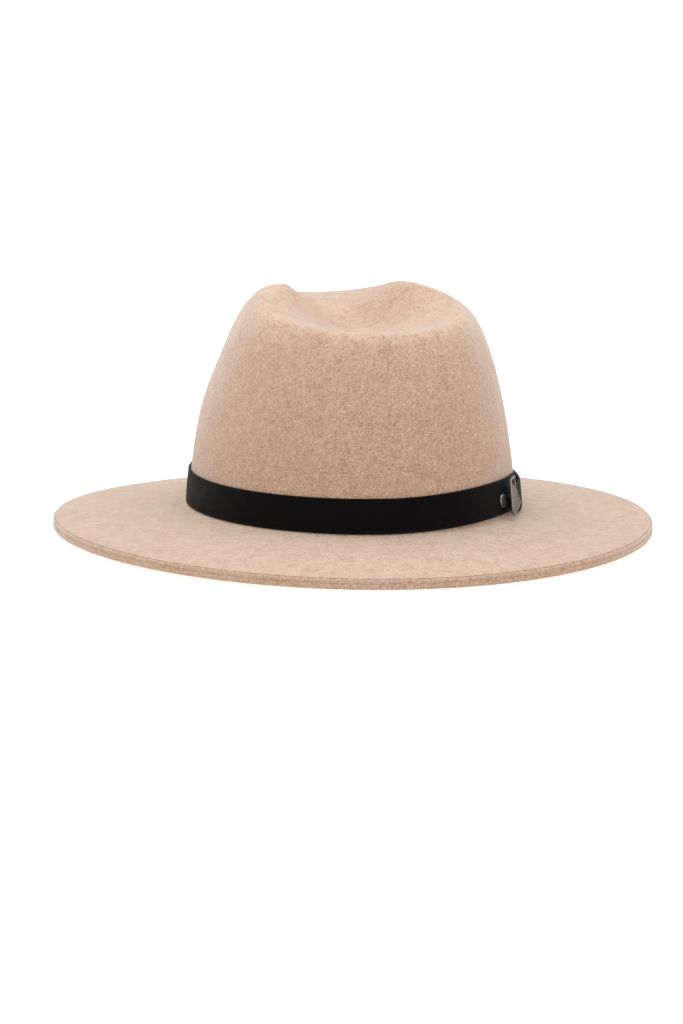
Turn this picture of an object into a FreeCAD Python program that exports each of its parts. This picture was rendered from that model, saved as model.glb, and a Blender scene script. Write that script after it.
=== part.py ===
import FreeCAD, Part
import math
import os

# A wide-brimmed felt fedora. Millimetres, +X to the wearer's front, +Y to the wearer's left, +Z up.
# The origin is the centre of the footprint at the level of the lowest point of the brim.
# The crown is given in elliptic polar form: a point at angle a has x = A * f * cos(a), y = B * f * sin(a),
# where f is 1 at the foot of the crown and 0 at its middle.

# Driving dimensions
EDGE_Z = 7.0            # mean height of the brim's top edge
FOOT_Z = 15.2           # where the crown's wall starts
A = 106.0               # half length of the crown's foot
B = 85.9                # half width of the crown's foot
TAPER_A = 0.078         # how far the wall leans in, front and back
TAPER_B = 0.097         # and at the sides
RIDGE_F = (0.603, -0.090, 0.121, 0.074, 0.005)           # where the ridge lies, by harmonics of the angle
RIDGE_Z = (122.4, 5.6, -5.5, -2.0, -0.2)                 # how high it stands
CREASE_Z = 107.0        # floor of the crease at the middle of the hat
CREASE_TILT = 0.18      # and how fast it rises toward the front
CREASE_OVAL = 0.5       # the crease's rows even out to an oval of this factor toward the middle
FLOOR_F = 0.08          # share of the way to the ridge where the crease starts to rise
RIDGE_ROUND = 0.7       # 1 gives the ridge a level inner side, less makes it fall sooner
WALL_POWER_SIDE, WALL_POWER_BACK, WALL_POWER_FRONT = 2.28, 2.65, 3.2
PINCH_ANGLE, PINCH_SPREAD = 46.3, 23.4                   # degrees
PINCH_Z, PINCH_HEIGHT, PINCH_DEPTH = 101.9, 18.2, 0.094
BRIM_A, BRIM_B = 175.3, 158.3                            # half length and half width of the brim
BRIM_CURL = 1.8         # front and back dip by this much and the sides rise
BRIM_FOOT_Z = 13.6      # top of the brim where it meets the crown
BREAK_RADIUS = 4.0      # fillet between brim and crown
FELT = 2.8              # felt thickness
WELT_WIDTH, WELT_THICK, WELT_GAP = 10.0, 2.1, 0.3        # second layer under the brim's edge
BAND_HEIGHT, BAND_THICK, BAND_GAP = 17.8, 1.3, 0.3
BAND_START = -119.0     # angle of the strap's inner end; it runs on round the back
BAND_SWEEP = 367.0      # and its outer end lies over the inner one
BAND_LIFT = 2.3         # the inner end sits this much higher than the rest
TAIL_OFF = 2.0          # gap from felt to strap at the outer end
TAIL_TRIM = 3.2         # the outer end is this much narrower
SWEAT_LOW, SWEAT_HIGH, SWEAT_THICK, SWEAT_GAP = 15.5, 50.0, 1.1, 0.5
REED_RADIUS = 0.8
STITCHES = 120
RIVET_ANGLE, RIVET_Z, RIVET_RADIUS, RIVET_HEIGHT = -135.2, 24.6, 3.6, 1.2
POST_RADIUS = 1.2
PLATE_ANGLE, PLATE_Z, PLATE_THICK, PLATE_OFF = -128.6, 25.5, 1.0, 4.4
LABEL_ANGLES, LABEL_LOW, LABEL_HIGH = (146.0, 157.0), 35.0, 47.0
AROUND = 72             # rows of points round the hat


def smooth(low, high, value):
    t = min(1.0, max(0.0, (value - low) / (high - low)))
    return t * t * (3.0 - 2.0 * t)


def harmonic(terms, a):
    return sum(term * math.cos(k * a) for k, term in enumerate(terms))


def pinch(a, z, f):
    """Share of the radius that the two front pinches take away."""
    total = 0.0
    for side in (1.0, -1.0):
        away = (math.degrees(a) - side * PINCH_ANGLE + 180.0) % 360.0 - 180.0
        dent = math.exp(-0.5 * (away / PINCH_SPREAD) ** 2 - 0.5 * ((z - PINCH_Z) / PINCH_HEIGHT) ** 2)
        total += PINCH_DEPTH * dent
    return total * min(1.0, f / harmonic(RIDGE_F, a)) ** 2


def wall_power(a):
    front = WALL_POWER_FRONT if math.cos(a) > 0 else WALL_POWER_BACK
    return WALL_POWER_SIDE * math.sin(a) ** 2 + front * math.cos(a) ** 2


def wall_f(a, rise):
    """Radial factor of the crown's wall at a share of the way up to the ridge."""
    ridge = harmonic(RIDGE_F, a)
    power = wall_power(a)
    taper = 1.0 - (TAPER_A * math.cos(a) ** 2 + TAPER_B * math.sin(a) ** 2) * rise
    return ridge + (taper - ridge) * (1.0 - rise ** power) ** (1.0 / power)


def crown_point(a, f, z):
    f = f * (1.0 - pinch(a, z, f))
    return FreeCAD.Vector(A * f * math.cos(a), B * f * math.sin(a), z)


def outward(a):
    """Level unit vector square to the crown's oval."""
    return FreeCAD.Vector(math.cos(a) / A, math.sin(a) / B, 0).normalize()


def wall_point(a, z, off=0.0):
    """Point on the crown's outer wall at height z, moved outward by off."""
    rise = max(0.0, (z - FOOT_Z) / (harmonic(RIDGE_Z, a) - FOOT_Z))
    return crown_point(a, wall_f(a, rise), z) + outward(a) * off


def brim_edge_z(a):
    return EDGE_Z - BRIM_CURL * math.cos(2.0 * a)


def brim_point(a, share, lift=0.0):
    """Point on the brim's top, from its outer edge (0) to the fillet at the crown (1)."""
    edge = FreeCAD.Vector(BRIM_A * math.cos(a), BRIM_B * math.sin(a), brim_edge_z(a))
    foot = wall_point(a, FOOT_Z, BREAK_RADIUS)
    foot.z = BRIM_FOOT_Z
    return edge + (foot - edge) * share + FreeCAD.Vector(0, 0, lift)


def crease_rise(q):
    """Share of the height from the crease's floor to the ridge, at a share q of the way out."""
    return RIDGE_ROUND * smooth(FLOOR_F, 1.0, q) + (1.0 - RIDGE_ROUND) * ((q - FLOOR_F) / (1.0 - FLOOR_F)) ** 1.5


def outer_profile(a):
    """Points of the felt's outer skin at angle a, from the middle of the brim's edge to the crease."""
    points = []
    half = FELT / 2.0
    for turn in (0.0, 22.5, 45.0, 67.5):
        t = math.radians(turn)
        inset = half * (1.0 - math.cos(t))
        points.append(brim_point(a, 0.0, half * math.sin(t) - half) - outward(a) * inset)
    points += [brim_point(a, share) for share in (0.02, 0.05, 0.1, 0.2, 0.32, 0.45, 0.58, 0.7, 0.82, 0.91, 0.96)]
    for turn in (0.0, 30.0, 60.0):
        t = math.radians(turn)
        base = wall_point(a, FOOT_Z, BREAK_RADIUS * (1.0 - math.sin(t)))
        base.z = BRIM_FOOT_Z + BREAK_RADIUS * (1.0 - math.cos(t))
        points.append(base)
    top = harmonic(RIDGE_Z, a)
    power = wall_power(a)
    first = BRIM_FOOT_Z + BREAK_RADIUS
    start = math.asin(((first - FOOT_Z) / (top - FOOT_Z)) ** (power / 2.0))
    steps = 20
    for k in range(steps + 1):
        share = k / steps
        phi = start + (math.pi / 2.0 - start) * (0.35 * share + 0.65 * share ** 1.6)
        rise = math.sin(phi) ** (2.0 / power)
        points.append(crown_point(a, wall_f(a, rise), FOOT_Z + (top - FOOT_Z) * rise))
    ridge = harmonic(RIDGE_F, a)
    for q in (0.94, 0.88, 0.81, 0.73, 0.65, 0.57, 0.49, 0.41, 0.33, 0.26, 0.2, 0.14, FLOOR_F):
        floor = CREASE_Z + CREASE_TILT * A * CREASE_OVAL * (q - FLOOR_F) * math.cos(a)
        across = q * (CREASE_OVAL + (ridge - CREASE_OVAL) * q * q)
        points.append(crown_point(a, across, floor + (top - floor) * crease_rise(q)))
    return points


def inner_grid(outer):
    """The outer skin moved square to itself by the felt's thickness."""
    around, rows = len(outer), len(outer[0])
    inner = []
    for i in range(around):
        column = []
        for j in range(rows):
            before, after = max(0, j - 1), min(rows - 1, j + 1)
            along = outer[i][after] - outer[i][before]
            across = outer[(i + 1) % around][j] - outer[i - 1][j]
            normal = across.cross(along).normalize()
            column.append(outer[i][j] - normal * FELT)
        column[-1].z = outer[0][-1].z - FELT
        inner.append(column)
    return inner


def clamped_mults(count):
    return [4] + [1] * (count - 4) + [4]


def fitted_surface(grid, rounds=14):
    """Cubic surface, closed round the hat, that passes through a grid of points."""
    around, rows = len(grid), len(grid[0])
    knots_u = [float(k) for k in range(around + 1)]
    knots_v = [float(k) for k in range(rows - 2)]
    flat = [0.0] * 3 + knots_v + [knots_v[-1]] * 3
    greville = [sum(flat[j + 1:j + 4]) / 3.0 for j in range(rows)]
    poles = [list(column) for column in grid]
    for _ in range(rounds):
        surface = Part.BSplineSurface()
        surface.buildFromPolesMultsKnots(
            poles, [1] * (around + 1), clamped_mults(rows), knots_u, knots_v, True, False, 3, 3)
        for i in range(around):
            for j in range(rows):
                miss = grid[i][j] - surface.value(float((i - 1) % around), greville[j])
                poles[i][j] = poles[i][j] + miss
    return surface


def tube_surface(grid):
    """Cubic surface closed both ways: a ring of closed sections."""
    around, rows = len(grid), len(grid[0])
    surface = Part.BSplineSurface()
    surface.buildFromPolesMultsKnots(
        grid, [1] * (around + 1), [1] * (rows + 1), [float(k) for k in range(around + 1)],
        [float(k) for k in range(rows + 1)], True, True, 3, 3)
    return surface


def solid_from(faces):
    shell = Part.makeShell(faces)
    if len(faces) > 1:
        shell.sewShape()
    solid = Part.makeSolid(shell)
    if solid.Volume < 0:
        solid.reverse()
    return solid


def angles(count=AROUND):
    return [2.0 * math.pi * i / count for i in range(count)]


def ring(section, count=AROUND):
    """Closed band round the crown; section(a) gives its closed section at angle a."""
    return solid_from([tube_surface([section(a) for a in angles(count)]).toShape()])


def strip_section(inner, outer, bottom, top):
    """Offsets and heights of a flat strip's section with soft corners."""
    mid = (inner + outer) / 2.0
    levels = [bottom + (top - bottom) * share for share in (0.0, 0.02, 0.2, 0.5, 0.8, 0.98, 1.0)]
    up = [(outer, z) for z in levels]
    down = [(inner, z) for z in reversed(levels)]
    return [(mid, bottom)] + up + [(mid, top)] + down


def flat_section(a, rows):
    """A section's points in one upright plane square to the wall, leaning as the wall does."""
    out = outward(a)
    middle = sum(z for _, z in rows) / len(rows)
    base = wall_point(a, middle)
    points = []
    for off, z in rows:
        lean = (wall_point(a, z) - base).dot(out)
        points.append(base + out * (off + lean) + FreeCAD.Vector(0, 0, z - middle))
    return points


def strip(stations):
    """Solid through flat sections from one station to the next, with flat ends."""
    grid = [list(column) for column in zip(*stations)]
    face = fitted_surface(grid, 1).toShape()
    ends = [edge for edge in face.Edges if edge.isClosed()]
    return solid_from([face] + [Part.Face(Part.Wire([edge])) for edge in ends])


def local_frame(angle, z, off):
    """Placement on the crown's wall: X square to the wall, Y along the band, Z up the wall."""
    a = math.radians(angle)
    up = (wall_point(a, z + 6.0) - wall_point(a, z - 6.0)).normalize()
    along = FreeCAD.Vector(0, 0, 1).cross(outward(a)).normalize()
    up = (up - along * up.dot(along)).normalize()
    out = along.cross(up)
    matrix = FreeCAD.Matrix(
        out.x, along.x, up.x, 0, out.y, along.y, up.y, 0, out.z, along.z, up.z, 0, 0, 0, 0, 1)
    place = FreeCAD.Placement(matrix)
    place.Base = wall_point(a, z) + out * off
    return place


def moved(shape, place):
    result = shape.copy()
    result.Placement = place.multiply(result.Placement)
    return result


def felt_body():
    outer = [outer_profile(a) for a in angles()]
    inner = inner_grid(outer)
    for i, a in enumerate(angles()):
        for j, turn in enumerate((0.0, 22.5, 45.0, 67.5)):
            t = math.radians(turn)
            half = FELT / 2.0
            inset = half * (1.0 - math.cos(t))
            inner[i][j] = brim_point(a, 0.0, -half - half * math.sin(t)) - outward(a) * inset
    faces = []
    for grid in (outer, inner):
        face = fitted_surface(grid).toShape()
        faces.append(face)
        cap = max(face.Edges, key=lambda edge: edge.BoundBox.ZMin if edge.BoundBox.ZLength < 1e-3 else -1e9)
        faces.append(Part.Face(Part.Wire([cap])))
    return solid_from(faces)


def brim_welt():
    half = WELT_THICK / 2.0

    def section(a):
        middle = -FELT - WELT_GAP - half
        points = []
        width = math.hypot(BRIM_A * math.cos(a), BRIM_B * math.sin(a)) - A
        for lift, inset in strip_section(-half, half, 0.2, WELT_WIDTH):
            points.append(brim_point(a, inset / width, middle + lift))
        return points
    return ring(section)


def band_lie(turn):
    """Gap to the felt, bottom and top of the strap, turn degrees on from its inner end."""
    tail = smooth(BAND_SWEEP - 58.0, BAND_SWEEP - 12.0, turn)
    lift = BAND_LIFT * (1.0 - smooth(18.0, 66.0, turn))
    gap = BAND_GAP + (TAIL_OFF - BAND_GAP) * tail
    return gap, FOOT_Z + lift, FOOT_Z + BAND_HEIGHT + lift - TAIL_TRIM * tail


def hat_band():
    stations = []
    steps = 110
    for k in range(steps + 1):
        turn = BAND_SWEEP * k / steps
        gap, bottom, top = band_lie(turn)
        rows = strip_section(gap, gap + BAND_THICK, bottom, top)
        stations.append(flat_section(math.radians(BAND_START - turn), rows))
    return strip(stations)


def sweatband():
    def section(a):
        face = -FELT - SWEAT_GAP
        rows = strip_section(face - SWEAT_THICK, face, SWEAT_LOW, SWEAT_HIGH)
        return [wall_point(a, z, off) for off, z in rows]
    return ring(section)


def sweatband_reed():
    def section(a):
        points = []
        for k in range(8):
            t = math.pi * k / 4.0
            off = -FELT - SWEAT_GAP - SWEAT_THICK / 2.0 + 1.25 * REED_RADIUS * math.cos(t)
            points.append(wall_point(a, SWEAT_LOW - 1.6 + 1.25 * REED_RADIUS * math.sin(t), off))
        return points
    return ring(section)


def sweatband_stitching():
    stitches = []
    for k in range(STITCHES):
        place = local_frame(360.0 * (k + 0.5) / STITCHES, SWEAT_LOW + 3.0, -FELT - SWEAT_GAP - SWEAT_THICK)
        thread = Part.makeCylinder(0.3, 2.4, FreeCAD.Vector(-0.1, -1.2, 0), FreeCAD.Vector(0, 1, 0))
        stitches.append(moved(thread, place))
    return Part.makeCompound(stitches)


def sweatband_bow():
    pieces = [Part.makeBox(1.6, 2.4, 3.2, FreeCAD.Vector(-2.2, -1.2, -1.6))]
    for side in (1.0, -1.0):
        centre = FreeCAD.Vector(-1.4, side * 5.6, 0)
        outer = Part.makeCylinder(1.0, 3.0, FreeCAD.Vector(0, 0, -1.5))
        inner = Part.makeCylinder(0.62, 4.0, FreeCAD.Vector(0, 0, -2.0))
        loop = outer.cut(inner)
        stretch = FreeCAD.Matrix()
        stretch.scale(1.0, 5.0, 1.0)
        loop = loop.transformGeometry(stretch)
        loop.translate(centre)
        tail = Part.makeBox(0.5, 3.0, 9.0, FreeCAD.Vector(-1.6, -1.5, -10.0))
        tail.rotate(FreeCAD.Vector(0, 0, 0), FreeCAD.Vector(1, 0, 0), side * 24.0)
        pieces += [loop, tail]
    bow = pieces[0].fuse(pieces[1:]).removeSplitter()
    return moved(bow, local_frame(180.0, SWEAT_LOW + 9.0, -FELT - SWEAT_GAP - SWEAT_THICK - 0.3))


def size_label():
    face = -FELT - SWEAT_GAP - SWEAT_THICK - 0.3
    first, last = LABEL_ANGLES
    stations = []
    for k in range(9):
        a = math.radians(first + (last - first) * k / 8.0)
        stations.append(flat_section(a, strip_section(face - 0.4, face, LABEL_LOW, LABEL_HIGH)))
    return strip(stations)


def rivet_cap():
    """A low drum with a bevel round its nearly flat face."""
    r, h = RIVET_RADIUS, RIVET_HEIGHT
    profile = [(0, 0), (r, 0), (r, 0.55 * h), (0.74 * r, h), (0, h + 0.15)]
    face = Part.Face(Part.makePolygon([FreeCAD.Vector(x, y, 0) for y, x in profile + profile[:1]]))
    cap = face.revolve(FreeCAD.Vector(0, 0, 0), FreeCAD.Vector(1, 0, 0), 360)
    return moved(cap, local_frame(RIVET_ANGLE, RIVET_Z, BAND_GAP + BAND_THICK + 0.15))


def rivet_post():
    post = Part.makeCylinder(POST_RADIUS, BAND_THICK + 0.1, FreeCAD.Vector(0.02, 0, 0), FreeCAD.Vector(1, 0, 0))
    return moved(post, local_frame(RIVET_ANGLE, RIVET_Z, BAND_GAP))


def plate_outline():
    return [(-8.0, 9.8), (-8.0, -7.8), (-4.2, -9.4), (8.0, -4.6), (0.6, 5.0), (0.6, 11.2)]


def plate_window():
    return [(-6.7, 8.7), (-1.0, 5.4), (-0.9, 9.7)]


def prism(outline, start, height):
    points = [FreeCAD.Vector(start, y, z) for y, z in outline]
    return Part.Face(Part.makePolygon(points + [points[0]])).extrude(FreeCAD.Vector(height, 0, 0))


def ornament_plate():
    """Kite-shaped plate with a three-cornered window at its top."""
    plate = prism(plate_outline(), 0.0, PLATE_THICK)
    plate = plate.makeFillet(0.25, plate.Edges)
    plate = plate.cut(prism(plate_window(), -1.0, PLATE_THICK + 2.0))
    return moved(plate, local_frame(PLATE_ANGLE, PLATE_Z, PLATE_OFF))


def ornament_stud():
    """Post from the back of the plate through the strap's inner end."""
    length = PLATE_OFF - BAND_GAP - 0.1
    stud = Part.makeCylinder(POST_RADIUS, length, FreeCAD.Vector(-length - 0.05, -5.0, 0), FreeCAD.Vector(1, 0, 0))
    return moved(stud, local_frame(PLATE_ANGLE, PLATE_Z, PLATE_OFF))


def bored(shape, pins):
    """The strap with a clearance hole for each pin that goes through it."""
    for centre, place in pins:
        hole = Part.makeCylinder(
            POST_RADIUS + 0.05, 9.0, centre - FreeCAD.Vector(6.0, 0, 0), FreeCAD.Vector(1, 0, 0))
        shape = shape.cut(moved(hole, place))
    return shape


def main():
    pins = [
        (FreeCAD.Vector(0, 0, 0), local_frame(RIVET_ANGLE, RIVET_Z, BAND_GAP)),
        (FreeCAD.Vector(0, -5.0, 0), local_frame(PLATE_ANGLE, PLATE_Z, PLATE_OFF)),
    ]
    nodes = {
        "felt_body": felt_body(),
        "brim_welt": brim_welt(),
        "hat_band": bored(hat_band(), pins),
        "rivet_cap": rivet_cap(),
        "rivet_post": rivet_post(),
        "ornament_plate": ornament_plate(),
        "ornament_stud": ornament_stud(),
        "sweatband": sweatband(),
        "sweatband_reed": sweatband_reed(),
        "sweatband_stitching": sweatband_stitching(),
        "sweatband_bow": sweatband_bow(),
        "size_label": size_label(),
    }
    os.makedirs("parts", exist_ok=True)
    for name, shape in nodes.items():
        shape.exportStep("parts/" + name + ".step")
        box = shape.BoundBox
        print(name, shape.isValid(), len(shape.Solids), round(shape.Volume),
              [round(v, 2) for v in (box.XMin, box.XMax, box.YMin, box.YMax, box.ZMin, box.ZMax)])


main()
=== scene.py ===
import math

import bmesh
import bpy
import numpy as np
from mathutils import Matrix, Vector
from mathutils.geometry import tessellate_polygon


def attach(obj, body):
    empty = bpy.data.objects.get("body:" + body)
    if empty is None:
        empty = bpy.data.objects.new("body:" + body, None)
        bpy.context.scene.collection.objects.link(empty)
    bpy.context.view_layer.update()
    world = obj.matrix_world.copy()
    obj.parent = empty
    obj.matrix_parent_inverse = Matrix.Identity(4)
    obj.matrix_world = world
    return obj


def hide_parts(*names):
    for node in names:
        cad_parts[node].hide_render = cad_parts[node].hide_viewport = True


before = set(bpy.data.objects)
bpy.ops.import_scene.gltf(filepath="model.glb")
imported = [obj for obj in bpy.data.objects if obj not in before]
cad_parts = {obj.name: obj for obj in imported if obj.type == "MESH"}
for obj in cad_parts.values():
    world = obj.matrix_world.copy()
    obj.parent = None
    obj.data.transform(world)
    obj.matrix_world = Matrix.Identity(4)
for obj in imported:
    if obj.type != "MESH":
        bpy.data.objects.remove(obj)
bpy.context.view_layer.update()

# The hat's shape, as in the CAD: millimetres, +X front, +Y left, +Z up
EDGE_Z, FOOT_Z = 7.0, 15.2
A, B = 106.0, 85.9
TAPER_A, TAPER_B = 0.078, 0.097
RIDGE_F = (0.603, -0.090, 0.121, 0.074, 0.005)
RIDGE_Z = (122.4, 5.6, -5.5, -2.0, -0.2)
CREASE_Z, CREASE_TILT, CREASE_OVAL, FLOOR_F, RIDGE_ROUND = 107.0, 0.18, 0.5, 0.08, 0.7
POWER_SIDE, POWER_BACK, POWER_FRONT = 2.28, 2.65, 3.2
PINCH_ANGLE, PINCH_SPREAD = 46.3, 23.4
PINCH_Z, PINCH_HEIGHT, PINCH_DEPTH = 101.9, 18.2, 0.094
BRIM_A, BRIM_B, BRIM_CURL, BRIM_FOOT_Z, BREAK_RADIUS = 175.3, 158.3, 1.8, 13.6, 4.0
FELT = 2.8
WELT_WIDTH, WELT_THICK, WELT_GAP = 10.0, 2.1, 0.3
BAND_HEIGHT, BAND_THICK, BAND_GAP = 17.8, 1.3, 0.3
BAND_START, BAND_SWEEP, BAND_LIFT = -119.0, 367.0, 2.3
TAIL_OFF, TAIL_TRIM = 2.0, 3.2
SWEAT_LOW, SWEAT_HIGH, SWEAT_THICK, SWEAT_GAP = 15.5, 50.0, 1.1, 0.5
REED_RADIUS = 0.8
STITCHES = 120
RIVET_ANGLE, RIVET_Z, RIVET_RADIUS, RIVET_HEIGHT = -135.2, 24.6, 3.6, 1.2
PLATE_ANGLE, PLATE_Z, PLATE_THICK, PLATE_OFF = -128.6, 25.5, 1.0, 4.4
PLATE_OUTLINE = ((-8.0, 9.8), (-8.0, -7.8), (-4.2, -9.4), (8.0, -4.6), (0.6, 5.0), (0.6, 11.2))
PLATE_WINDOW = ((-6.7, 8.7), (-1.0, 5.4), (-0.9, 9.7))
LABEL_ANGLES, LABEL_LOW, LABEL_HIGH = (146.0, 157.0), 35.0, 47.0
BOW_ANGLE, BOW_RISE, BOW_OFF = 180.0, 9.0, 0.3

# Only in the visual model, millimetres
WELT_LAP = 0.5           # how far the welt rises into the felt's rounded edge
FILLET_CLEAR = 0.25      # least gap from the strap to the fillet at the crown's foot
SEAM_RISE, TOP_LINE = 3.0, 31.5    # stitch line and upper pressed line, from the sweatband's lower edge
LABEL_OFF = 0.5          # from the sweatband to the middle of the label

MM = 0.001
AROUND = 720             # points round the hat
PROBE = 60.0             # radius at which a band's unevenness is read
EDGE_TURNS = np.radians(np.arange(0.0, 90.0, 15.0))

# Camera: degrees, metres, lens in millimetres
CAMERA_YAW, CAMERA_RISE, CAMERA_DISTANCE = 76.0, 9.5, 1.6
CAMERA_LENS, CAMERA_SHIFT = 105.2, (-0.0096, 0.0038)
HAT_MIDDLE = Vector((0.0, 0.0, 0.06))


def smooth(low, high, value):
    """Smooth step from 0 at low to 1 at high."""
    t = np.clip((value - low) / (high - low), 0.0, 1.0)
    return t * t * (3.0 - 2.0 * t)


def harmonic(terms, a):
    """Cosine series in the angle a."""
    return sum(term * np.cos(k * a) for k, term in enumerate(terms))


def crown_point(a, f, z):
    """Points of the crown's skin, pinched at the front, for angles a, radial factors f and heights z."""
    dent = 0.0
    for side in (1.0, -1.0):
        away = (np.degrees(a) - side * PINCH_ANGLE + 180.0) % 360.0 - 180.0
        dent = dent + np.exp(-0.5 * (away / PINCH_SPREAD) ** 2 - 0.5 * ((z - PINCH_Z) / PINCH_HEIGHT) ** 2)
    f = f * (1.0 - PINCH_DEPTH * dent * np.minimum(1.0, f / harmonic(RIDGE_F, a)) ** 2)
    return np.stack([A * f * np.cos(a), B * f * np.sin(a), z + 0.0 * a], -1)


def wall_power(a):
    """How square the crown's wall turns into its ridge at angle a."""
    end = np.where(np.cos(a) > 0, POWER_FRONT, POWER_BACK)
    return POWER_SIDE * np.sin(a) ** 2 + end * np.cos(a) ** 2


def wall_f(a, rise):
    """Radial factor of the crown's wall at a share of the way up to the ridge."""
    ridge = harmonic(RIDGE_F, a)
    power = wall_power(a)
    taper = 1.0 - (TAPER_A * np.cos(a) ** 2 + TAPER_B * np.sin(a) ** 2) * rise
    return ridge + (taper - ridge) * (1.0 - rise ** power) ** (1.0 / power)


def outward(a):
    """Level unit vectors square to the crown's oval."""
    v = np.stack([np.cos(a) / A, np.sin(a) / B, 0.0 * a], -1)
    return v / np.linalg.norm(v, axis=-1, keepdims=True)


def wall_point(a, z, off=0.0):
    """Points on the crown's outer wall at height z, moved outward by off."""
    a, z, off = np.broadcast_arrays(np.asarray(a, float), np.asarray(z, float), np.asarray(off, float))
    rise = np.maximum(0.0, (z - FOOT_Z) / (harmonic(RIDGE_Z, a) - FOOT_Z))
    return crown_point(a, wall_f(a, rise), z) + outward(a) * off[..., None]


def brim_point(a, share):
    """Points on the brim's top, from its outer edge (0) to the fillet at the crown (1)."""
    a, share = np.broadcast_arrays(np.asarray(a, float), np.asarray(share, float))
    edge = np.stack([BRIM_A * np.cos(a), BRIM_B * np.sin(a), EDGE_Z - BRIM_CURL * np.cos(2 * a)], -1)
    foot = wall_point(a, FOOT_Z, BREAK_RADIUS)
    foot[..., 2] = BRIM_FOOT_Z
    return edge + (foot - edge) * share[..., None]


def flat_point(a, off, z, middle):
    """Points of a section that lies in one upright plane square to the wall, leaning as the wall does."""
    a, off, z, middle = np.broadcast_arrays(*(np.asarray(v, float) for v in (a, off, z, middle)))
    base, out = wall_point(a, middle), outward(a)
    lean = ((wall_point(a, z) - base) * out).sum(-1)
    p = base + out * (off + lean)[..., None]
    p[..., 2] += z - middle
    return p


class Local:
    """Axes on the crown's wall: square to the wall, along the band and up the wall."""

    def __init__(self, angle, z, off):
        a = np.radians(angle)
        self.base = wall_point(a, z, off)
        self.along = np.cross((0.0, 0.0, 1.0), outward(a))
        self.along /= np.linalg.norm(self.along)
        up = wall_point(a, z + 6.0) - wall_point(a, z - 6.0)
        up -= self.along * (up @ self.along)
        self.up = up / np.linalg.norm(up)
        self.out = np.cross(self.along, self.up)

    def __call__(self, points):
        return self.base + np.asarray(points) @ np.array([self.out, self.along, self.up])


def lattice(values, size, seed):
    """Smooth repeatable noise from -1 to 1 at points (millimetres), with features of the given size."""
    p = values / size
    cell = np.floor(p).astype(np.int64)
    t = p - cell
    t = t * t * (3.0 - 2.0 * t)
    total = 0.0
    for dx in (0, 1):
        for dy in (0, 1):
            for dz in (0, 1):
                c = cell + (dx, dy, dz)
                h = (c[..., 0] * 73856093) ^ (c[..., 1] * 19349663)
                h = h ^ (c[..., 2] * 83492791) ^ (seed * 2654435761)
                h = (h ^ (h >> 13)) * 1274126177
                h = ((h ^ (h >> 16)) & 0xFFFF) / 32767.5 - 1.0
                w = np.abs(1 - dx - t[..., 0]) * np.abs(1 - dy - t[..., 1]) * np.abs(1 - dz - t[..., 2])
                total = total + h * w
    return total


def ring_angles(count=AROUND):
    return np.linspace(0.0, 2.0 * np.pi, count, endpoint=False)


def add_mesh(name, verts, faces):
    """Object from points in millimetres and faces, shaded smooth."""
    mesh = bpy.data.meshes.new(name)
    mesh.from_pydata([tuple(v) for v in (np.asarray(verts) * MM).tolist()], [], faces)
    mesh.validate()
    mesh.shade_smooth()
    obj = bpy.data.objects.new(name, mesh)
    bpy.context.scene.collection.objects.link(obj)
    return obj


def grid_faces(rows, around, closed_rows=False, first=0, flip=False):
    """Quads between rows of points that close round the hat; first is the number of the first point."""
    faces = []
    for i in range(rows if closed_rows else rows - 1):
        low, high = first + i * around, first + ((i + 1) % rows) * around
        for j in range(around):
            k = (j + 1) % around
            quad = (low + j, low + k, high + k, high + j)
            faces.append(quad[::-1] if flip else quad)
    return faces


def shade_auto(obj, degrees):
    """Smooth shading, but sharp where faces meet at more than this angle."""
    bpy.context.view_layer.objects.active = obj
    obj.select_set(True)
    bpy.ops.object.shade_smooth_by_angle(angle=math.radians(degrees))
    obj.select_set(False)


def make_camera():
    yaw, rise = math.radians(CAMERA_YAW), math.radians(CAMERA_RISE)
    back = Vector((-math.sin(yaw) * math.cos(rise), math.cos(yaw) * math.cos(rise), math.sin(rise)))
    camera = bpy.data.cameras.new("camera")
    camera.sensor_width = 36.0
    camera.lens = CAMERA_LENS
    camera.shift_x, camera.shift_y = CAMERA_SHIFT
    obj = bpy.data.objects.new("camera", camera)
    obj.location = Vector((0.0, 0.0, EDGE_Z * MM)) + back * CAMERA_DISTANCE
    obj.rotation_euler = (-back).to_track_quat("-Z", "Y").to_euler()
    bpy.context.scene.collection.objects.link(obj)
    bpy.context.scene.camera = obj


# Materials

GROUND, GROUND_DARK, GROUND_PALE = (0.425, 0.264, 0.172), (0.330, 0.190, 0.116), (0.505, 0.345, 0.243)
# The pale colour mixed into up-facing felt is a painted highlight standing in for the overhead light.
GROUND_WARM, PAINTED_TOP_LIGHT = (0.350, 0.188, 0.106), (0.62, 0.485, 0.370)
# Fibres of the felt: noise scale along each axis, its turn, how strongly they show, and their colour
FIBRES = {
    "warm": ((560.0, 480.0, 920.0), (0.1, -0.6, 0.4), 0.70, (0.41, 0.215, 0.115)),
    "dark": ((430.0, 900.0, 560.0), (-0.4, 0.2, 0.9), 0.52, (0.165, 0.086, 0.050)),
    "grey": ((700.0, 640.0, 380.0), (0.8, 0.3, -0.5), 0.40, (0.46, 0.385, 0.335)),
    "pale": ((880.0, 400.0, 620.0), (0.3, 0.5, 0.2), 0.85, (0.66, 0.52, 0.41)),
}
METAL_GRAIN = 1600.0


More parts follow.
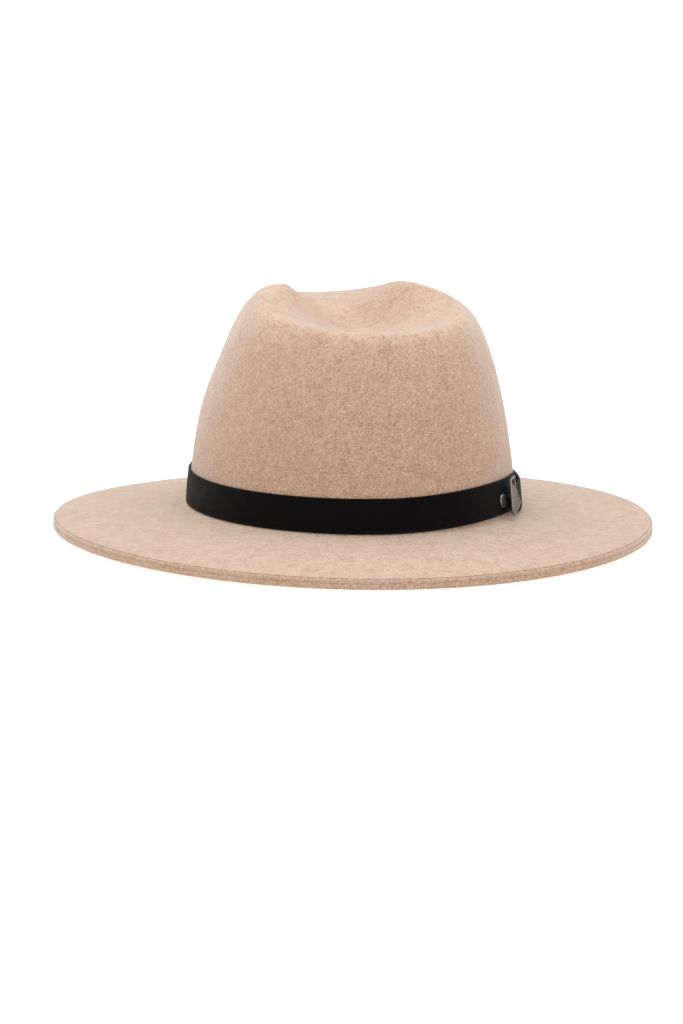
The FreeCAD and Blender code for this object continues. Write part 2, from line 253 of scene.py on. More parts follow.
class Nodes:
    """A material's node tree with short ways to add nodes."""

    def __init__(self, name):
        self.material = bpy.data.materials.new(name)
        self.material.use_nodes = True
        self.tree = self.material.node_tree
        self.shader = self.tree.nodes["Principled BSDF"]
        self.coord = self.add("ShaderNodeTexCoord").outputs["Object"]

    def add(self, kind, **settings):
        node = self.tree.nodes.new(kind)
        for key, value in settings.items():
            setattr(node, key, value)
        return node

    def link(self, source, target):
        self.tree.links.new(source, target)

    def set(self, **values):
        for key, value in values.items():
            self.shader.inputs[key.replace("_", " ")].default_value = value

    def noise(self, scale, detail, rough=0.5, distort=0.0, vector=None):
        node = self.add("ShaderNodeTexNoise")
        node.inputs["Scale"].default_value = scale
        node.inputs["Detail"].default_value = detail
        node.inputs["Roughness"].default_value = rough
        node.inputs["Distortion"].default_value = distort
        self.link(vector or self.coord, node.inputs["Vector"])
        return node.outputs["Fac"]

    def stretch(self, scale, turn=(0.0, 0.0, 0.0)):
        node = self.add("ShaderNodeMapping")
        node.inputs["Scale"].default_value = scale
        node.inputs["Rotation"].default_value = turn
        self.link(self.coord, node.inputs["Vector"])
        return node.outputs["Vector"]

    def ramp(self, factor, *stops):
        """Colour ramp: each stop has a place and a colour, or one number for a grey."""
        node = self.add("ShaderNodeValToRGB")
        elements = node.color_ramp.elements
        while len(elements) < len(stops):
            elements.new(0.5)
        for element, (at, colour) in zip(elements, stops):
            element.position = at
            element.color = (*(colour if isinstance(colour, tuple) else (colour,) * 3), 1.0)
        self.link(factor, node.inputs["Fac"])
        return node.outputs["Color"]

    def mix(self, factor, one, two):
        node = self.add("ShaderNodeMix", data_type="RGBA")
        for value, socket in ((factor, node.inputs[0]), (one, node.inputs[6]), (two, node.inputs[7])):
            if isinstance(value, (float, int)):
                socket.default_value = value
            elif isinstance(value, tuple):
                socket.default_value = (*value, 1.0)
            else:
                self.link(value, socket)
        return node.outputs[2]

    def math(self, kind, one, two):
        node = self.add("ShaderNodeMath", operation=kind)
        for value, socket in ((one, node.inputs[0]), (two, node.inputs[1])):
            if isinstance(value, (float, int)):
                socket.default_value = value
            else:
                self.link(value, socket)
        return node.outputs[0]

    def bump(self, height, strength, distance):
        node = self.add("ShaderNodeBump")
        node.inputs["Strength"].default_value = strength
        node.inputs["Distance"].default_value = distance
        self.link(height, node.inputs["Height"])
        self.link(node.outputs["Normal"], self.shader.inputs["Normal"])


def felt_material():
    """Melange wool felt: short curled fibres over a patchy sandy ground, and a painted highlight that makes
    up-facing felt paler.
    """
    n = Nodes("wool_felt_melange")
    curls = {name: n.noise(1.0, 2.0, 0.6, 1.8, n.stretch(scale, turn))
             for name, (scale, turn, _, _) in FIBRES.items()}
    patch = n.noise(360.0, 5.0, 0.7, 1.6)
    cloud = n.noise(150.0, 4.0, 0.6, 1.0)
    colour = n.ramp(patch, (0.30, GROUND_DARK), (0.5, GROUND), (0.70, GROUND_PALE))
    colour = n.mix(n.ramp(cloud, (0.36, 0.60), (0.54, 0.0)), colour, GROUND_WARM)
    for name, (_, _, strength, shade) in FIBRES.items():
        strands = n.ramp(curls[name], (0.44, 0.0), (0.50, 1.0), (0.56, 0.0))
        colour = n.mix(n.math("MULTIPLY", strands, strength), colour, shade)
    # Painted highlight: felt is mixed unevenly towards a pale colour the more it faces up, in place of the
    # overhead light on its tops.
    facing = n.add("ShaderNodeSeparateXYZ")
    n.link(n.add("ShaderNodeNewGeometry").outputs["Normal"], facing.inputs[0])
    top_light_mask = n.ramp(facing.outputs["Z"], (0.15, 0.0), (0.95, 0.46))
    uneven = n.math("ADD", n.math("MULTIPLY", cloud, 0.55), n.math("MULTIPLY", curls["pale"], 0.45))
    top_light_mask = n.math("MULTIPLY", top_light_mask, n.ramp(uneven, (0.40, 0.05), (0.60, 1.0)))
    n.link(n.mix(top_light_mask, colour, PAINTED_TOP_LIGHT), n.shader.inputs["Base Color"])
    n.set(Roughness=1.0, Specular_IOR_Level=0.1, Sheen_Weight=0.6, Sheen_Roughness=0.35,
          Sheen_Tint=(1.0, 0.97, 0.94, 1.0))
    height = n.math("ADD", n.math("MULTIPLY", curls["pale"], 0.7), n.math("MULTIPLY", curls["dark"], 0.7))
    n.bump(n.math("ADD", height, n.math("MULTIPLY", patch, 0.4)), 0.7, 0.0006)
    return n.material


def leather_material(name, dark, light, rough, grain=900.0, bump=0.25, gloss=0.045):
    """Leather with a fine cell grain; its colour and roughness drift a little."""
    n = Nodes(name)
    cells = n.add("ShaderNodeTexVoronoi", feature="DISTANCE_TO_EDGE")
    cells.inputs["Scale"].default_value = grain
    n.link(n.coord, cells.inputs["Vector"])
    cloud = n.noise(70.0, 4.0, 0.6)
    fine = n.noise(1800.0, 2.0)
    n.link(n.mix(n.ramp(cloud, (0.35, 0.0), (0.7, 1.0)), dark, light), n.shader.inputs["Base Color"])
    n.link(n.ramp(cloud, (0.3, rough - 0.06), (0.7, rough + 0.08)), n.shader.inputs["Roughness"])
    n.set(Specular_IOR_Level=gloss)
    crease = n.ramp(cells.outputs["Distance"], (0.0, 0.0), (0.12, 1.0))
    n.bump(n.math("ADD", n.math("MULTIPLY", crease, 0.7), n.math("MULTIPLY", fine, 0.3)), bump, 0.00025)
    return n.material


def plate_material():
    """Darkened metal finished with fine crossed lines."""
    n = Nodes("plate_gunmetal")
    hatch = []
    for turn in ((0.6, 0.0, 0.0), (-0.7, 0.3, 0.0)):
        wave = n.add("ShaderNodeTexWave", bands_direction="Z")
        wave.inputs["Scale"].default_value = 430.0
        wave.inputs["Distortion"].default_value = 1.5
        wave.inputs["Detail"].default_value = 3.0
        n.link(n.stretch((1.0, 1.0, 1.0), turn), wave.inputs["Vector"])
        hatch.append(wave.outputs["Fac"])
    lines = n.math("MULTIPLY", n.math("ADD", hatch[0], hatch[1]), n.noise(900.0, 2.0))
    colour = n.ramp(lines, (0.15, (0.075, 0.067, 0.062)), (0.85, (0.205, 0.185, 0.170)))
    n.link(colour, n.shader.inputs["Base Color"])
    n.link(n.ramp(hatch[0], (0.2, 0.42), (0.8, 0.52)), n.shader.inputs["Roughness"])
    n.set(Metallic=1.0)
    n.bump(lines, 0.25, 0.0001)
    return n.material


def metal_material(name, dark, light, rough):
    """Worn metal, cloudy in colour and speckled in roughness."""
    n = Nodes(name)
    speck = n.noise(1.0, 3.0, 0.6, 0.0, n.stretch((METAL_GRAIN,) * 3))
    cloud = n.noise(240.0, 3.0, 0.6)
    n.link(n.mix(n.ramp(cloud, (0.35, 0.0), (0.7, 1.0)), dark, light), n.shader.inputs["Base Color"])
    n.link(n.ramp(speck, (0.3, rough - 0.08), (0.7, rough + 0.12)), n.shader.inputs["Roughness"])
    n.set(Metallic=1.0)
    n.bump(speck, 0.25, 0.0001)
    return n.material


def ribbon_material(name, colour, rib=2200.0):
    """Fine ribbed weave; the greater rib is, the finer it is."""
    n = Nodes(name)
    wave = n.add("ShaderNodeTexWave", bands_direction="Z")
    wave.inputs["Scale"].default_value = rib * 0.16
    wave.inputs["Distortion"].default_value = 0.6
    n.link(n.coord, wave.inputs["Vector"])
    cloud = n.noise(500.0, 3.0)
    light = tuple(min(1.0, c * 1.8 + 0.01) for c in colour)
    shade = n.mix(n.math("MULTIPLY", wave.outputs["Fac"], cloud), colour, light)
    n.link(shade, n.shader.inputs["Base Color"])
    n.set(Roughness=0.7, Sheen_Weight=0.3, Sheen_Roughness=0.4)
    n.bump(wave.outputs["Fac"], 0.4, 0.0002)
    return n.material


MAT = {
    "felt": felt_material(),
    "band": leather_material("band_leather_black", (0.0018, 0.0013, 0.0015), (0.0034, 0.0027, 0.0028), 0.58),
    "edge": leather_material(
        "band_edge_paint", (0.003, 0.003, 0.003), (0.006, 0.005, 0.005), 0.5, 600.0, 0.1),
    "metal": plate_material(),
    "rivet": metal_material("rivet_nickel_dark", (0.035, 0.030, 0.027), (0.11, 0.098, 0.09), 0.34),
    # Brighter metal for the plate's raised rim: a painted highlight on its facets.
    "rim": metal_material("plate_rim_painted_highlight", (0.22, 0.20, 0.185), (0.42, 0.39, 0.36), 0.34),
    # Brighter copy of the rivet's nickel: a painted highlight on its straight wall.
    "rivet_wall_highlight": metal_material("rivet_nickel_painted_highlight", (0.42, 0.38, 0.35), (0.66, 0.62, 0.58), 0.32),
    "sweat": leather_material(
        "sweatband_leather_dark", (0.020, 0.016, 0.014), (0.032, 0.026, 0.022), 0.5, 700.0, 0.3, 0.3),
    "reed": ribbon_material("reed_tape_black", (0.012, 0.012, 0.012)),
    "thread": ribbon_material("stitch_thread_dark", (0.05, 0.045, 0.04), 5200.0),
    "ribbon": ribbon_material("bow_ribbon_black", (0.010, 0.010, 0.011)),
    "label": ribbon_material("label_cotton_pale", (0.60, 0.575, 0.53), 3600.0),
}


# Felt

def felt_outer(a):
    """Rows of points of the felt's outer skin, from the middle of its edge to the crease's floor."""
    rows = []
    half = FELT / 2.0
    out = outward(a)
    for t in EDGE_TURNS:
        p = brim_point(a, 0.0) - out * half * (1.0 - np.cos(t))
        p[:, 2] += half * np.sin(t) - half
        rows.append(p)
    shares = np.concatenate([[0.012, 0.02], np.linspace(0.035, 0.96, 56), [0.98]])
    rows += [brim_point(a, share) for share in shares]
    for t in EDGE_TURNS:
        p = wall_point(a, FOOT_Z, BREAK_RADIUS * (1.0 - np.sin(t)))
        p[:, 2] = BRIM_FOOT_Z + BREAK_RADIUS * (1.0 - np.cos(t))
        rows.append(p)
    top = harmonic(RIDGE_Z, a)
    power = wall_power(a)
    start = np.arcsin(((BRIM_FOOT_Z + BREAK_RADIUS - FOOT_Z) / (top - FOOT_Z)) ** (power / 2.0))
    for share in np.linspace(0.0, 1.0, 90):
        phi = start + (np.pi / 2.0 - start) * (0.35 * share + 0.65 * share ** 1.6)
        rise = np.sin(phi) ** (2.0 / power)
        rows.append(crown_point(a, wall_f(a, rise), FOOT_Z + (top - FOOT_Z) * rise))
    ridge = harmonic(RIDGE_F, a)
    for q in np.linspace(0.98, 0.02, 50):
        floor = CREASE_Z + CREASE_TILT * A * CREASE_OVAL * max(q - FLOOR_F, 0.0) * np.cos(a)
        across = q * (CREASE_OVAL + (ridge - CREASE_OVAL) * q * q)
        t = max(0.0, (q - FLOOR_F) / (1.0 - FLOOR_F))
        share = RIDGE_ROUND * smooth(0.0, 1.0, t) + (1.0 - RIDGE_ROUND) * t ** 1.5
        rows.append(crown_point(a, across, floor + (top - floor) * share))
    return np.array(rows)


def grid_normals(grid):
    """Unit normals of a grid of points, pointing out of the felt."""
    along = np.gradient(grid, axis=0)
    across = np.roll(grid, -1, axis=1) - np.roll(grid, 1, axis=1)
    normal = np.cross(across, along)
    return normal / np.linalg.norm(normal, axis=-1, keepdims=True)


def felt_relief(points):
    """Unevenness of blocked felt: a broad undulation, then small pile."""
    return 0.10 * lattice(points, 26.0, 3) + 0.03 * lattice(points, 6.0, 5) + 0.05 * lattice(points, 1.9, 9)


def make_felt():
    """Crown and brim in one closed skin."""
    a = ring_angles()
    outer = felt_outer(a)
    normal = grid_normals(outer)
    inner = outer - normal * FELT
    half = FELT / 2.0
    for k, t in enumerate(EDGE_TURNS):
        p = brim_point(a, 0.0) - outward(a) * half * (1.0 - np.cos(t))
        p[:, 2] += -half * np.sin(t) - half
        inner[k] = p
    inner = inner[1:]
    outer = outer + normal * felt_relief(outer)[..., None]
    inner = inner + normal[1:] * 0.6 * felt_relief(inner)[..., None]
    rows_out, rows_in = len(outer), len(inner)
    tips = [outer[-1].mean(0), inner[-1].mean(0)]
    verts = np.concatenate([outer.reshape(-1, 3), inner.reshape(-1, 3), tips])
    faces = grid_faces(rows_out, AROUND)
    faces += grid_faces(rows_in, AROUND, first=rows_out * AROUND, flip=True)
    tip_out, tip_in = len(verts) - 2, len(verts) - 1
    last_out, first_in = (rows_out - 1) * AROUND, rows_out * AROUND
    last_in = first_in + (rows_in - 1) * AROUND
    for j in range(AROUND):
        k = (j + 1) % AROUND
        faces.append((last_out + j, last_out + k, tip_out))
        faces.append((last_in + k, last_in + j, tip_in))
        faces.append((k, j, first_in + j, first_in + k))
    felt = add_mesh("felt_crown_and_brim", verts, faces)
    settle(felt, "felt", "hat", "felt_body")


# Shared shapes

def rounded_section(inner, outer, bottom, top, radius, crown, flats, turns=4):
    """Closed section (offset, height) of a strip with rounded edges; crown swells the outer face."""
    points = []
    corners = ((outer, bottom, -90), (outer, top, 0), (inner, top, 90), (inner, bottom, 180))
    for index, (off, z, start) in enumerate(corners):
        centre = (off + (radius if off == inner else -radius), z + (radius if z == bottom else -radius))
        for k in range(turns + 1):
            t = math.radians(start + 90.0 * k / turns)
            points.append((centre[0] + radius * math.cos(t), centre[1] + radius * math.sin(t)))
        if index in (0, 2):
            low, high = (bottom + radius, top - radius) if index == 0 else (top - radius, bottom + radius)
            for k in range(1, flats):
                share = k / flats
                swell = crown * (1.0 - (2.0 * share - 1.0) ** 2) if index == 0 else 0.0
                points.append((off + swell, low + (high - low) * share))
    return np.array(points)


def make_ring(name, section, place):
    """Closed band round the crown; place puts a point of the section at every angle."""
    a = ring_angles()
    rows = np.array([place(a, off, z) for off, z in section])
    return add_mesh(name, rows.reshape(-1, 3), grid_faces(len(section), AROUND, closed_rows=True))


def settle(piece, key, body, node):
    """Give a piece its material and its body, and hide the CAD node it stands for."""
    piece.data.materials.append(MAT[key])
    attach(piece, body)
    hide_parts(node)
    return piece


def loft(sections, closed, first):
    """Vertices and faces through closed sections, one after another, capped at both ends unless closed."""
    count, around = len(sections), len(sections[0])
    verts = np.concatenate(sections)
    faces = []
    for i in range(count if closed else count - 1):
        low, high = first + i * around, first + ((i + 1) % count) * around
        for j in range(around):
            k = (j + 1) % around
            faces.append((low + j, low + k, high + k, high + j))
    if not closed:
        last = first + (count - 1) * around
        faces.append(tuple(range(first + around - 1, first - 1, -1)))
        faces.append(tuple(range(last, last + around)))
    return verts, faces


def outward_faces(piece):
    """Turn every face of a closed mesh to look outward."""
    mesh = bmesh.new()
    mesh.from_mesh(piece.data)
    bmesh.ops.recalc_face_normals(mesh, faces=mesh.faces)
    mesh.to_mesh(piece.data)
    mesh.free()


def loft_piece(name, lofts, degrees=40.0):
    """One piece from several lofts, each given as its sections and whether it closes on itself."""
    verts, faces, total = [], [], 0
    for sections, closed in lofts:
        some, more = loft(sections, closed, total)
        verts.append(some)
        faces += more
        total += len(some)
    piece = add_mesh(name, np.concatenate(verts), faces)
    outward_faces(piece)
    shade_auto(piece, degrees)
    return piece


# Pieces

def band_lie(turn):
    """Gap to the felt, bottom and top of the strap, turn degrees on from its inner end."""
    tail = smooth(BAND_SWEEP - 58.0, BAND_SWEEP - 12.0, turn)
    lift = BAND_LIFT * (1.0 - smooth(18.0, 66.0, turn))
    gap = BAND_GAP + (TAIL_OFF - BAND_GAP) * tail
    return gap, FOOT_Z + lift, FOOT_Z + BAND_HEIGHT + lift - TAIL_TRIM * tail


def make_band():
    """Strap round the crown, its outer end over its inner end, its lower edge thinned over the fillet."""
    section = rounded_section(0.0, BAND_THICK, 0.0, BAND_HEIGHT, 0.38, 0.06, 16)
    ends = np.array([0.0, 0.05, 0.12, 0.25])
    turns = np.concatenate([ends, np.linspace(0.6, BAND_SWEEP - 0.6, 740), BAND_SWEEP - ends[::-1]])
    sections = []
    for turn in turns:
        a = np.radians(BAND_START - turn)
        gap, low, high = band_lie(turn)
        near = min(turn, BAND_SWEEP - turn)
        inset = 0.3 * (1.0 - math.sqrt(1.0 - (1.0 - min(1.0, near / 0.2)) ** 2))
        off = gap + np.clip(section[:, 0], inset, BAND_THICK + 0.1 - inset)
        level = np.clip(section[:, 1], inset, BAND_HEIGHT - inset) / BAND_HEIGHT
        z = low + (high - low) * level
        below = np.clip(1.0 - (z - BRIM_FOOT_Z) / BREAK_RADIUS, 0.0, 1.0)
        off = np.maximum(off, BREAK_RADIUS * (1.0 - np.sqrt(1.0 - below ** 2)) + FILLET_CLEAR)
        still = 0.0 * level
        probe = np.stack([PROBE * np.cos(a) + still, PROBE * np.sin(a) + turn * 0.1 + still, 7 * level], -1)
        wave = 0.15 * lattice(probe, 30.0, 21) * (2 * level - 1) ** 2
        bulge = 0.06 * (lattice(probe, 17.0, 22) + 0.6)
        p = flat_point(a, off + bulge, z, (low + high) / 2.0)
        p[:, 2] += wave
        sections.append(p)
    band = loft_piece("leather_hat_band", [(sections, False)])
    band.data.materials.clear()
    settle(band, "band", "band", "hat_band")
    band.data.materials.append(MAT["edge"])
    around = len(section)
    outer_face = range(5, 20)
    for poly in band.data.polygons:
        if poly.index < (len(turns) - 1) * around and poly.index % around not in outer_face:
            poly.material_index = 1


def make_welt():
    """Second layer of felt under the brim's edge, close against it and rough at its rim."""
    half = WELT_THICK / 2.0
    section = rounded_section(-half, half + WELT_GAP + WELT_LAP, 0.0, WELT_WIDTH, 0.5, 0.0, 8, 5)

    def place(a, off, inset):
        edge = brim_point(a, 0.0)
        width = np.linalg.norm(edge[:, :2], axis=1) - A
        p = brim_point(a, inset / width)
        p[:, 2] += off - FELT - WELT_GAP - half
        return p + outward(a) * (0.12 * lattice(p, 3.0, 31) + 0.08 * lattice(p, 1.5, 32))[:, None]
    settle(make_ring("brim_edge_welt", section, place), "felt", "hat", "brim_welt")


def make_sweatband():
    """Leather lining strip, pressed along its stitch line, with a rolled upper edge."""
    section = rounded_section(-SWEAT_THICK, 0.0, 0.0, SWEAT_HIGH - SWEAT_LOW, 0.42, 0.0, 26, 4)

    def place(a, off, level):
        z = SWEAT_LOW + level
        groove = 0.22 * math.exp(-((level - SEAM_RISE) / 0.7) ** 2)
        groove += 0.12 * math.exp(-((level - TOP_LINE) / 0.6) ** 2)
        inward = off < -0.5 * SWEAT_THICK
        probe = np.stack([PROBE * np.cos(a), PROBE * np.sin(a), 0 * a + level], -1)
        slack = -0.10 * (lattice(probe, 22.0, 41) + 1.0) if inward else 0.0 * a
        lift = 0.25 * lattice(probe, 24.0, 42) * smooth(20.0, 34.0, level)
        return wall_point(a, z + lift, off - FELT - SWEAT_GAP + slack + (groove if inward else 0.0))
    piece = make_ring("leather_sweatband", section, place)
    outward_faces(piece)
    settle(piece, "sweat", "hat", "sweatband")


def make_reed():
    """Cloth-wrapped reed in the sweatband's lower edge."""
    count, around = 2 * AROUND, 14
    a = ring_angles(count)
    wrap = REED_RADIUS * (1.0 + 0.05 * np.cos(a * 360.0))
    rows = []
    for t in ring_angles(around):
        off = -FELT - SWEAT_GAP - SWEAT_THICK / 2.0 + wrap * np.cos(t)
        rows.append(wall_point(a, SWEAT_LOW - 1.6 + wrap * np.sin(t), off))
    faces = grid_faces(around, count, closed_rows=True)
    piece = add_mesh("sweatband_reed_tape", np.concatenate(rows), faces)
    outward_faces(piece)
    settle(piece, "reed", "hat", "sweatband_reed")


def make_stitches():
    """Short slanting stitches of plied thread along the sweatband's lower edge."""
    lofts = []
    t = ring_angles(8)
    for k in range(STITCHES):
        place = Local(360.0 * (k + 0.5) / STITCHES, SWEAT_LOW + SEAM_RISE, -FELT - SWEAT_GAP - SWEAT_THICK)
        sections = []
        for u in np.linspace(-1.0, 1.0, 11):
            r = 0.27 * (1.0 - 0.75 * u ** 4) * (1.0 + 0.12 * np.cos(2 * t + 5.0 * u))
            x = 0.25 * abs(u) ** 3 - 0.12 + r * np.cos(t)
            sections.append(place(np.stack([x, 1.15 * u + 0 * t, 0.22 * u + r * np.sin(t)], -1)))
        lofts.append((sections, False))
    piece = loft_piece("sweatband_stitches", lofts)
    settle(piece, "thread", "hat", "sweatband_stitching")


def ribbon_loft(path, wide, thick):
    """Closed sections of a flat ribbon along a path: each has a centre, a width vector and a face vector."""
    sections = []
    for centre, across, face in zip(path, wide, thick):
        centre, across, face = (np.asarray(v, float) for v in (centre, across, face))
        ring_points = []
        for k in range(16):
            t = math.pi * (k + 0.5) / 8
            c, s = math.cos(t), math.sin(t)
            rim = math.copysign(abs(c) ** 0.35, c), math.copysign(abs(s) ** 0.8, s)
            ring_points.append(centre + across * rim[0] + face * rim[1])
        sections.append(np.array(ring_points))
    return sections


def bow_loop(side):
    """One loop of the bow, out to a side and back to the knot."""
    path, wide, thick = [], [], []
    for u in np.linspace(0.0, 1.0, 41)[:-1]:
        t = 2.0 * math.pi * u
        reach = 0.5 * (1.0 - math.cos(t))
        y = side * (0.5 + 9.6 * reach)
        x = -1.35 + 0.72 * math.sin(t) * (1.0 - 0.15 * reach)
        tangent = np.array([0.72 * math.cos(t), side * 4.8 * math.sin(t) + 1e-6, 0.0])
        tangent /= np.linalg.norm(tangent)
        path.append((x, y, 0.35 * reach))
        wide.append((0, 0, 0.85 + 0.65 * smooth(0.0, 0.6, reach)))
        thick.append(0.15 * np.array([-tangent[1], tangent[0], 0.0]))
    return ribbon_loft(path, wide, thick)


def bow_tail(side):
    """One tail of the bow, hanging to a side, its end cut to a notch."""
    path, wide, thick = [], [], []
    slope = math.radians(side * 24.0)
    down = np.array([0, math.sin(slope), -math.cos(slope)])
    level = np.array([0, math.cos(slope), math.sin(slope)])
    for u in np.linspace(0.0, 1.0, 16):
        path.append(np.array([-1.35 + 0.25 * math.sin(5.0 * u), 0, 0]) + down * (0.4 + 9.2 * u))
        wide.append(level * (0.8 + 0.6 * smooth(0.0, 0.5, u)))
        thick.append((0.14, 0, 0))
    tail = ribbon_loft(path, wide, thick)
    for step, share in ((-1, 1.0), (-2, 0.45)):
        reach = np.abs((tail[step] - path[step]) @ level) / 1.4
        tail[step] = tail[step] + np.outer(share * 1.3 * (reach - 0.6), down)
    return tail


def bow_knot():
    """The turn of ribbon round the middle of the bow."""
    path, wide, thick = [], [], []
    for t in ring_angles(24):
        path.append((-1.3 + 0.72 * math.cos(t), 0.0, 1.45 * math.sin(t)))
        wide.append((0, 1.05 + 0.12 * math.cos(3 * t), 0))
        thick.append((0.2 * math.cos(t), 0, 0.2 * math.sin(t)))
    return ribbon_loft(path, wide, thick)


def make_bow():
    """Small ribbon bow at the back of the sweatband: two loops, two cut tails and the knot between them."""
    place = Local(BOW_ANGLE, SWEAT_LOW + BOW_RISE, -FELT - SWEAT_GAP - SWEAT_THICK - BOW_OFF)
    parts = []
    for side in (1.0, -1.0):
        parts += [(bow_loop(side), True), (bow_tail(side), False)]
    parts.append((bow_knot(), True))
    lofts = [([place(p) for p in sections], closed) for sections, closed in parts]
    settle(loft_piece("sweatband_bow_ribbon", lofts), "ribbon", "hat", "sweatband_bow")


def make_label():
    """Blank woven label sewn to the sweatband, with its two ends folded under."""
    face = -FELT - SWEAT_GAP - SWEAT_THICK - LABEL_OFF
    first, last = np.radians(LABEL_ANGLES)
    sections = []
    middle = (LABEL_LOW + LABEL_HIGH) / 2.0
    shares = np.concatenate([[0.0, 0.006], np.linspace(0.02, 0.98, 45), [0.994, 1.0]])
    for share in shares:
        a = first + (last - first) * share
        near = min(share, 1.0 - share)
        half = (0.08 + 0.10 * (1.0 - smooth(0.06, 0.10, near))) * (0.4 if near == 0.0 else 1.0)
        edge = rounded_section(-half, half, LABEL_LOW, LABEL_HIGH, 0.7 * half, 0.0, 14, 2)
        ripple = 0.05 * math.sin(19.0 * share) - 0.05 * math.sin(math.pi * share)
        sections.append(flat_point(a, face + ripple + edge[:, 0], edge[:, 1], middle))
    piece = loft_piece("sweatband_size_label", [(sections, False)])
    settle(piece, "label", "hat", "size_label")


def make_rivet():
    """Turned rivet head: a straight wall, a broad bevel, a thin lip and a shallow dish."""
    place = Local(RIVET_ANGLE, RIVET_Z, BAND_GAP + BAND_THICK + 0.15)
    r, h = RIVET_RADIUS, RIVET_HEIGHT
    profile = [
        (0.0, 0.3 * r), (0.0, 0.93 * r), (0.06, 0.98 * r), (0.15, r), (0.36 * h, r), (0.46 * h, 0.985 * r),
        (0.54 * h, 0.95 * r), (0.96 * h, 0.76 * r), (h, 0.72 * r), (h, 0.68 * r), (0.93 * h, 0.64 * r),
        (0.94 * h, 0.4 * r), (0.97 * h, 0.12 * r), (0.97 * h, 0.01 * r),
    ]
    around = 64
    t = ring_angles(around)
    sections = [place(np.stack([x + 0 * t, radius * np.cos(t), radius * np.sin(t)], -1))
                for x, radius in profile]
    head = loft_piece("rivet_head", [(sections, False)], 32.0)
    settle(head, "rivet", "band", "rivet_cap")
    # The straight wall gets the brighter nickel, a painted highlight for the light caught on the rivet's
    # side.
    head.data.materials.append(MAT["rivet_wall_highlight"])
    for poly in head.data.polygons:
        if poly.index // around in (2, 3, 4):
            poly.material_index = 1


def plate_ring(outline, inset, x, corner=0.7):
    """Outline moved inward by inset, its corners rounded, at height x; it may run either way round."""
    points = np.array(outline, float)
    area = 0.5 * sum(p[0] * q[1] - p[1] * q[0] for p, q in zip(points, np.roll(points, -1, axis=0)))
    turn = 1.0 if area > 0 else -1.0
    rounded = []
    for k in range(len(points)):
        before, here, after = points[k - 1], points[k], points[(k + 1) % len(points)]
        one = (here - before) / np.linalg.norm(here - before)
        two = (after - here) / np.linalg.norm(after - here)
        left_one, left_two = turn * np.array([-one[1], one[0]]), turn * np.array([-two[1], two[0]])
        bisector = (left_one + left_two) / (1.0 + left_one @ left_two)
        at = here + bisector * inset
        size = max(0.06, corner - 0.4 * inset)
        start, end = at - one * size, at + two * size
        for t in (0.0, 0.25, 0.5, 0.75, 1.0):
            rounded.append((1 - t) ** 2 * start + 2 * t * (1 - t) * at + t * t * end)
    return np.array([(x, y, z) for y, z in rounded])


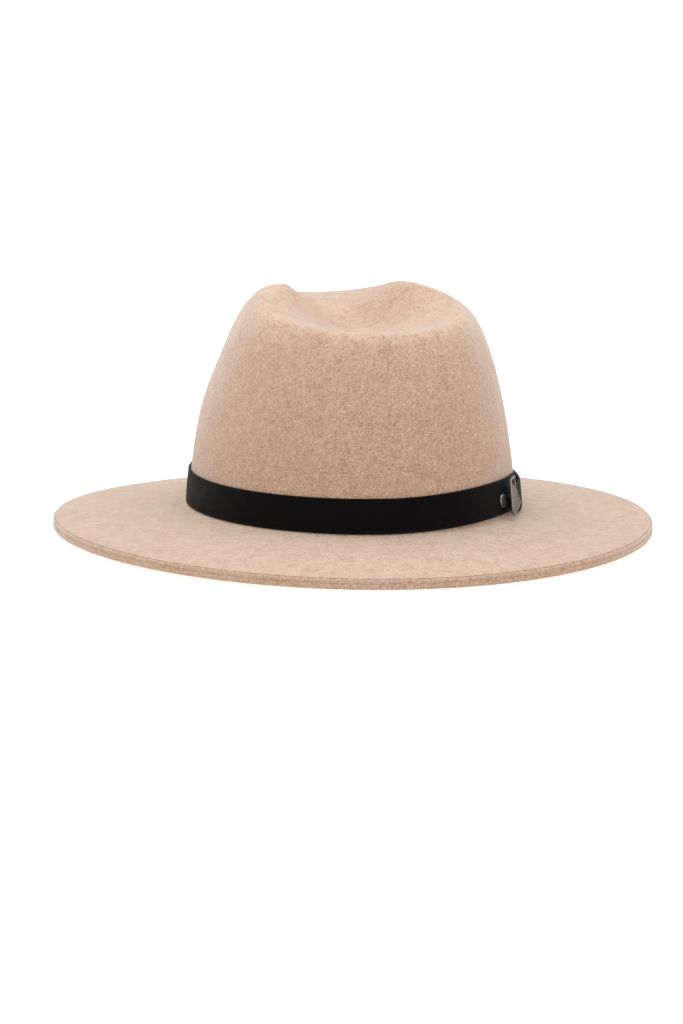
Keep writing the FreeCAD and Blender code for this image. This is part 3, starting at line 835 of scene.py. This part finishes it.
def make_plate():
    """Kite-shaped plate with a raised rim, a sunken field and a three-cornered window."""
    place = Local(PLATE_ANGLE, PLATE_Z, PLATE_OFF)
    rim = [(0.15, 0.12), (0.0, 0.3), (0.0, 0.75), (0.15, 0.97), (0.38, 1.0), (0.52, 0.90), (0.6, 0.80)]
    lip = [(0.0, 0.12), (0.0, 0.84), (-0.10, 0.95), (-0.24, 0.95), (-0.34, 0.80)]
    outer = [plate_ring(PLATE_OUTLINE, inset, level * PLATE_THICK) for inset, level in rim]
    inner = [plate_ring(PLATE_WINDOW, inset, level * PLATE_THICK, 0.4) for inset, level in lip]
    verts = np.concatenate(outer + inner)
    faces = []
    size_out, size_in = len(outer[0]), len(inner[0])
    start_in = len(outer) * size_out
    for first, size, count in ((0, size_out, len(outer)), (start_in, size_in, len(inner))):
        for i in range(count - 1):
            for j in range(size):
                k = (j + 1) % size
                low, high = first + i * size, first + (i + 1) * size
                faces.append((low + j, low + k, high + k, high + j))
    last_out, last_in = (len(outer) - 1) * size_out, start_in + (len(inner) - 1) * size_in
    for edge_out, edge_in in ((last_out, last_in), (0, start_in)):
        index = list(range(edge_out, edge_out + size_out)) + list(range(edge_in, edge_in + size_in))
        loops = [[Vector((y, z, 0.0)) for _, y, z in verts[edge:edge + size]]
                 for edge, size in ((edge_out, size_out), (edge_in, size_in))]
        faces += [tuple(index[i] for i in face) for face in tessellate_polygon(loops)]
    piece = add_mesh("ornament_kite_plate", place(verts), faces)
    outward_faces(piece)
    shade_auto(piece, 30.0)
    settle(piece, "metal", "band", "ornament_plate")
    # The top of the raised rim gets the brighter metal, a painted highlight for light caught on its facets.
    piece.data.materials.append(MAT["rim"])
    for poly in piece.data.polygons:
        if 2 <= poly.index // size_out <= 4:
            poly.material_index = 1


# Floor and light

def make_floor():
    """Plain pale paper that glows a little, so that the hat's shadow stays faint."""
    bpy.ops.mesh.primitive_plane_add(size=8.0, location=(0, 0, -0.0002))
    floor = bpy.context.object
    floor.name = "pale_floor"
    n = Nodes("pale_floor_paper")
    speck = n.noise(300.0, 3.0)
    n.link(n.ramp(speck, (0.3, 0.30), (0.7, 0.32)), n.shader.inputs["Base Color"])
    n.set(Roughness=0.9, Emission_Color=(1.0, 1.0, 1.0, 1.0), Emission_Strength=0.85)
    floor.data.materials.append(n.material)


def make_light(name, place, size, power):
    """Square soft light aimed at the middle of the hat; metres and watts."""
    light = bpy.data.lights.new(name, "AREA")
    light.energy, light.size, light.shape = power, size, "SQUARE"
    obj = bpy.data.objects.new(name, light)
    obj.location = place
    obj.rotation_euler = (HAT_MIDDLE - Vector(place)).to_track_quat("-Z", "Y").to_euler()
    bpy.context.scene.collection.objects.link(obj)


def make_world():
    world = bpy.data.worlds.new("studio")
    world.use_nodes = True
    background = world.node_tree.nodes["Background"]
    background.inputs["Color"].default_value = (1.0, 1.0, 1.0, 1.0)
    background.inputs["Strength"].default_value = 1.1
    bpy.context.scene.world = world


# The scene

make_camera()
make_felt()
make_band()
make_welt()
make_sweatband()
make_reed()
make_stitches()
make_bow()
make_label()
make_rivet()
make_plate()
for node in ("rivet_post", "ornament_stud"):
    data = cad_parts[node].data
    data.materials.clear()
    data.materials.append(MAT["rivet"])
make_floor()
make_world()
make_light("overhead_softbox", (0.15, 0.05, 1.5), 1.2, 14.5)
bpy.context.scene.view_settings.view_transform = "Standard"
